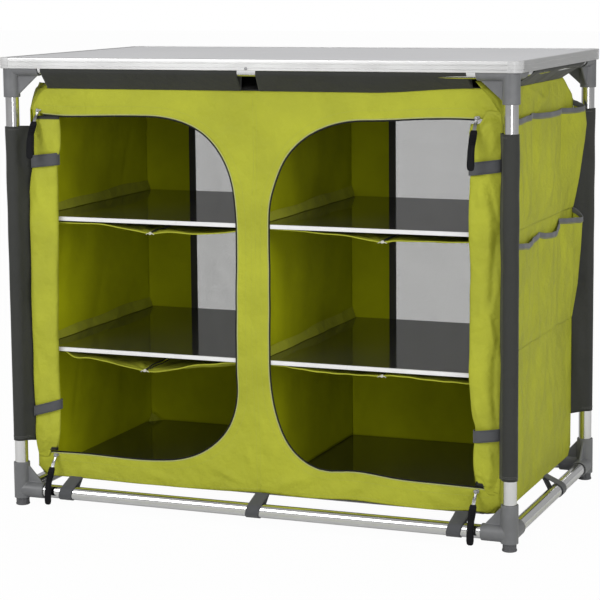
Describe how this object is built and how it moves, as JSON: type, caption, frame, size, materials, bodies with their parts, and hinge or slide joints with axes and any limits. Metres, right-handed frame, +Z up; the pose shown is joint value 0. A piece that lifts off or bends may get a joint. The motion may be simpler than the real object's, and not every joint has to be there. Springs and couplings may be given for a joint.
{
  "type": "camping cupboard",
  "caption": "Camp kitchen cupboard: table top on a tube frame, hung cloth body with zipped doors, shelf compartments and side pockets.",
  "frame": {"origin": "on the ground under the middle of the table top", "axes": "+X to the right side, which has the pockets; +Y from the front, with its two doors, to the back; +Z up"},
  "size_m": [1, 0.58, 0.85],
  "materials": {
    "laminate": "pale grey laminate, satin",
    "aluminium": "satin anodised",
    "connector_plastic": "moulded, satin",
    "foot_plastic": "moulded, fluted",
    "green_cloth": "coated woven polyester",
    "dark_cloth": "coated woven polyester",
    "net": "fine knitted net",
    "dark_board": "glossy laminate",
    "zip_metal": "cast, plated",
    "pull_plastic": "moulded over a cord"
  },
  "bodies": {
    "frame": {"top_board": "laminate", "top_rim": "aluminium", "upper_rail_front": "aluminium", "lower_rail_front": "aluminium", "upper_rail_rear": "aluminium", "lower_rail_rear": "aluminium", "upper_rail_left": "aluminium", "lower_rail_left": "aluminium", "upper_rail_right": "aluminium", "lower_rail_right": "aluminium", "upper_connector_front_left": "connector_plastic", "lower_connector_front_left": "connector_plastic", "leg_tube_front_left": "aluminium", "leg_sleeve_front_left": "dark_cloth", "upper_connector_front_right": "connector_plastic", "lower_connector_front_right": "connector_plastic", "leg_tube_front_right": "aluminium", "leg_sleeve_front_right": "dark_cloth", "upper_connector_rear_left": "connector_plastic", "lower_connector_rear_left": "connector_plastic", "leg_tube_rear_left": "aluminium", "leg_sleeve_rear_left": "dark_cloth", "upper_connector_rear_right": "connector_plastic", "lower_connector_rear_right": "connector_plastic", "leg_tube_rear_right": "aluminium", "leg_sleeve_rear_right": "dark_cloth", "front_panel": "green_cloth", "rear_panel": "green_cloth", "left_side_panel": "green_cloth", "right_side_panel": "green_cloth", "centre_divider": "green_cloth", "pocket_upper": "green_cloth", "pocket_lower": "green_cloth", "rolled_door_left": "green_cloth", "rolled_door_right": "green_cloth", "rear_mesh": "net", "roof_cover": "dark_cloth", "floor_panel": "dark_cloth", "floor_board_left": "dark_board", "shelf_board_left_lower": "dark_board", "shelf_sling_left_lower": "green_cloth", "shelf_board_left_upper": "dark_board", "shelf_sling_left_upper": "green_cloth", "floor_board_right": "dark_board", "shelf_board_right_lower": "dark_board", "shelf_sling_right_lower": "green_cloth", "shelf_board_right_upper": "dark_board", "shelf_sling_right_upper": "green_cloth"},
    "levelling_foot_front_left": {"foot_front_left": "foot_plastic"},
    "levelling_foot_front_right": {"foot_front_right": "foot_plastic"},
    "levelling_foot_rear_left": {"foot_rear_left": "foot_plastic"},
    "levelling_foot_rear_right": {"foot_rear_right": "foot_plastic"},
    "slider_left_top": {"zip_slider_left_top": "zip_metal"},
    "pull_left_top": {"zip_pull_left_top": "pull_plastic"},
    "slider_left_bottom": {"zip_slider_left_bottom": "zip_metal"},
    "pull_left_bottom": {"zip_pull_left_bottom": "pull_plastic"},
    "slider_right_top": {"zip_slider_right_top": "zip_metal"},
    "pull_right_top": {"zip_pull_right_top": "pull_plastic"},
    "slider_right_bottom": {"zip_slider_right_bottom": "zip_metal"},
    "pull_right_bottom": {"zip_pull_right_bottom": "pull_plastic"}
  },
  "joints": [
    {"name": "foot_screw_front_left", "type": "slide", "parent": "frame", "child": "levelling_foot_front_left", "axis": [0, 0, -1], "range_m": [0, 0.012]},
    {"name": "foot_screw_front_right", "type": "slide", "parent": "frame", "child": "levelling_foot_front_right", "axis": [0, 0, -1], "range_m": [0, 0.012]},
    {"name": "foot_screw_rear_left", "type": "slide", "parent": "frame", "child": "levelling_foot_rear_left", "axis": [0, 0, -1], "range_m": [0, 0.012]},
    {"name": "foot_screw_rear_right", "type": "slide", "parent": "frame", "child": "levelling_foot_rear_right", "axis": [0, 0, -1], "range_m": [0, 0.012]},
    {"name": "zip_slide_left_top", "type": "slide", "parent": "frame", "child": "slider_left_top", "axis": [1, 0, 0], "range_m": [0, 0.17]},
    {"name": "pull_swing_left_top", "type": "hinge", "parent": "slider_left_top", "child": "pull_left_top", "pos_m": [-0.436, -0.2582, 0.751], "axis": [0, -1, 0], "range_deg": [-22, 80]},
    {"name": "zip_slide_left_bottom", "type": "slide", "parent": "frame", "child": "slider_left_bottom", "axis": [1, 0, 0], "range_m": [0, 0.17]},
    {"name": "pull_swing_left_bottom", "type": "hinge", "parent": "slider_left_bottom", "child": "pull_left_bottom", "pos_m": [-0.416, -0.2582, 0.096], "axis": [0, -1, 0], "range_deg": [-35, 80]},
    {"name": "zip_slide_right_top", "type": "slide", "parent": "frame", "child": "slider_right_top", "axis": [-1, 0, 0], "range_m": [0, 0.17]},
    {"name": "pull_swing_right_top", "type": "hinge", "parent": "slider_right_top", "child": "pull_right_top", "pos_m": [0.414, -0.2582, 0.751], "axis": [0, 1, 0], "range_deg": [-35, 80]},
    {"name": "zip_slide_right_bottom", "type": "slide", "parent": "frame", "child": "slider_right_bottom", "axis": [-1, 0, 0], "range_m": [0, 0.17]},
    {"name": "pull_swing_right_bottom", "type": "hinge", "parent": "slider_right_bottom", "child": "pull_right_bottom", "pos_m": [0.414, -0.2582, 0.096], "axis": [0, 1, 0], "range_deg": [-35, 80]}
  ]
}
